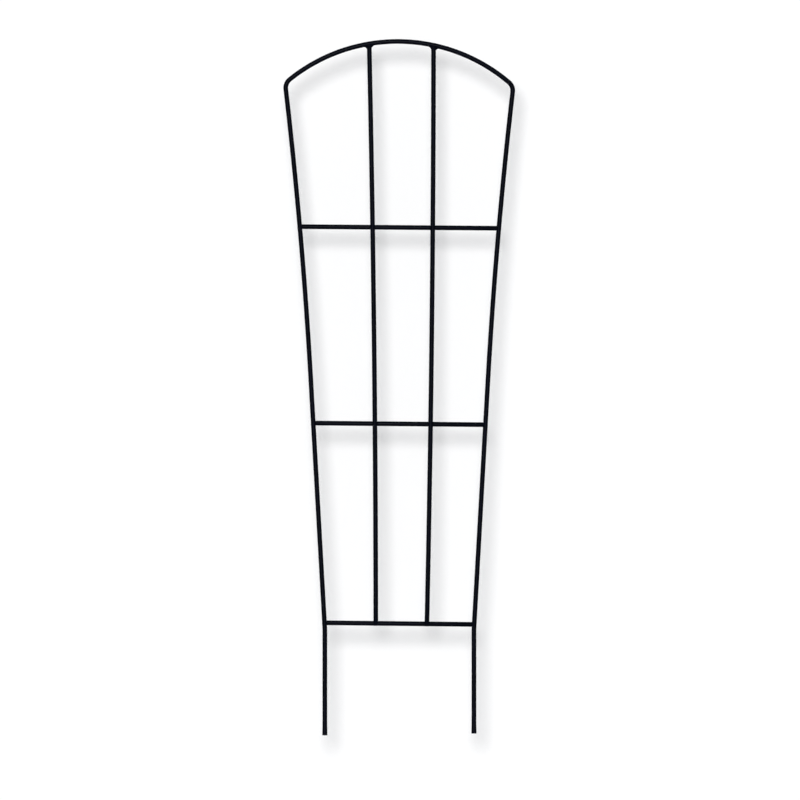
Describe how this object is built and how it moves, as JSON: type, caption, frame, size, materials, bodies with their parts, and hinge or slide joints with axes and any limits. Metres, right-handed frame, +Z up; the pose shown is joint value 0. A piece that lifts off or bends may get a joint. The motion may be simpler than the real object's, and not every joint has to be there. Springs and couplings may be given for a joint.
{
  "type": "fan pot trellis",
  "caption": "Flat fan-shaped plant trellis for a pot: bent rod frame with an arched top and bare legs, with upright and cross rods welded inside it, black powder coat.",
  "frame": {"origin": "midway between the two leg tips, on the centre plane of the frame rod", "axes": "+Z up along the legs to the arch; +X to the right seen from the front; +Y from the front to the back, where the cross rods lie"},
  "size_m": [0.3048, 0.0137, 0.9155],
  "materials": {
    "rod_powder_coat": "satin",
    "weld_powder_coat": "satin"
  },
  "bodies": {
    "root": {"frame": "rod_powder_coat", "left_upright": "rod_powder_coat", "right_upright": "rod_powder_coat", "lower_cross_rod": "rod_powder_coat", "middle_cross_rod": "rod_powder_coat", "upper_cross_rod": "rod_powder_coat", "weld_arch_left_upright": "weld_powder_coat", "weld_arch_right_upright": "weld_powder_coat", "weld_lower_left_side": "weld_powder_coat", "weld_lower_left_upright": "weld_powder_coat", "weld_lower_right_upright": "weld_powder_coat", "weld_lower_right_side": "weld_powder_coat", "weld_middle_left_side": "weld_powder_coat", "weld_middle_left_upright": "weld_powder_coat", "weld_middle_right_upright": "weld_powder_coat", "weld_middle_right_side": "weld_powder_coat", "weld_upper_left_side": "weld_powder_coat", "weld_upper_left_upright": "weld_powder_coat", "weld_upper_right_upright": "weld_powder_coat", "weld_upper_right_side": "weld_powder_coat"}
  },
  "joints": []
}
